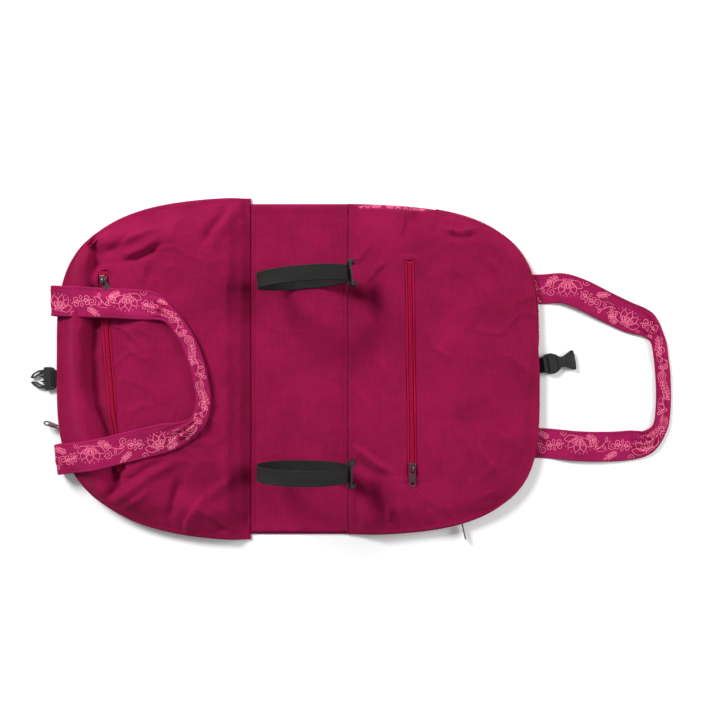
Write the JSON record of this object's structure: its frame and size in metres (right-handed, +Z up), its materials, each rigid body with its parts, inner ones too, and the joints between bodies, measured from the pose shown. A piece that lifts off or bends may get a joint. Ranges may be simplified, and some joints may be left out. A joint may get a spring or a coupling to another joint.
{
  "type": "yoga mat bag",
  "caption": "Soft cotton yoga mat bag laid open, with zipped side pouches, webbing loops that hold a rolled mat, printed carry handles and a side-release buckle.",
  "frame": {"origin": "on the floor, under the middle of the base strip that the mat lies on", "axes": "+X towards the buckle's socket half, +Y along the mat, +Z up"},
  "size_m": [0.8569, 0.4565, 0.1192],
  "materials": {
    "printed_cotton": "printed plain weave",
    "plain_canvas": "plain weave",
    "zip_tape": "woven tape",
    "zip_coil": "satin coil",
    "gunmetal": "gunmetal plating",
    "black_webbing": "ribbed webbing",
    "black_plastic": "moulded satin"
  },
  "bodies": {
    "bag": {"outer_panel_left": "printed_cotton", "outer_panel_right": "printed_cotton", "outer_base": "printed_cotton", "side_band_left_upper": "printed_cotton", "side_band_left_lower": "printed_cotton", "side_band_right_upper": "printed_cotton", "side_band_right_lower": "printed_cotton", "handle_left": "printed_cotton", "handle_right": "printed_cotton", "inner_panel_left": "plain_canvas", "inner_panel_right": "plain_canvas", "mat_lining": "plain_canvas", "edge_zip_tape_left": "zip_tape", "edge_zip_tape_right": "zip_tape", "pocket_zip_tape_left": "zip_tape", "pocket_zip_tape_right": "zip_tape", "edge_zip_coil_left": "zip_coil", "edge_zip_coil_right": "zip_coil", "pocket_zip_coil_left": "zip_coil", "pocket_zip_coil_right": "zip_coil", "edge_zip_left_slider": "gunmetal", "edge_zip_right_slider": "gunmetal", "pocket_zip_left_slider": "gunmetal", "pocket_zip_left_pull": "gunmetal", "pocket_zip_right_slider": "gunmetal", "mat_loop_upper": "black_webbing", "mat_loop_lower": "black_webbing", "closure_strap_socket": "black_webbing", "closure_strap_plug": "black_webbing", "loop_adjuster_upper": "black_plastic", "loop_adjuster_lower": "black_plastic", "buckle_socket": "black_plastic", "buckle_plug": "black_plastic"},
    "pocket_pull_right": {"pocket_zip_right_pull": "gunmetal"},
    "edge_pull_left": {"edge_zip_left_pull": "gunmetal"},
    "edge_pull_right": {"edge_zip_right_pull": "gunmetal"}
  },
  "joints": [
    {"name": "pocket_pull_right_swing", "type": "hinge", "parent": "bag", "child": "pocket_pull_right", "pos_m": [0.1469, -0.13066, 0.0285], "axis": [-0.9999, -0.013, 0], "range_deg": [0, 160]},
    {"name": "edge_pull_left_swing", "type": "hinge", "parent": "bag", "child": "edge_pull_left", "pos_m": [-0.31971, -0.07871, 0.0085], "axis": [0, 0, 1], "range_deg": [0, 50]},
    {"name": "edge_pull_right_swing", "type": "hinge", "parent": "bag", "child": "edge_pull_right", "pos_m": [0.21346, -0.20348, 0.00808], "axis": [0, 0, 1], "range_deg": [-70, 70]}
  ]
}
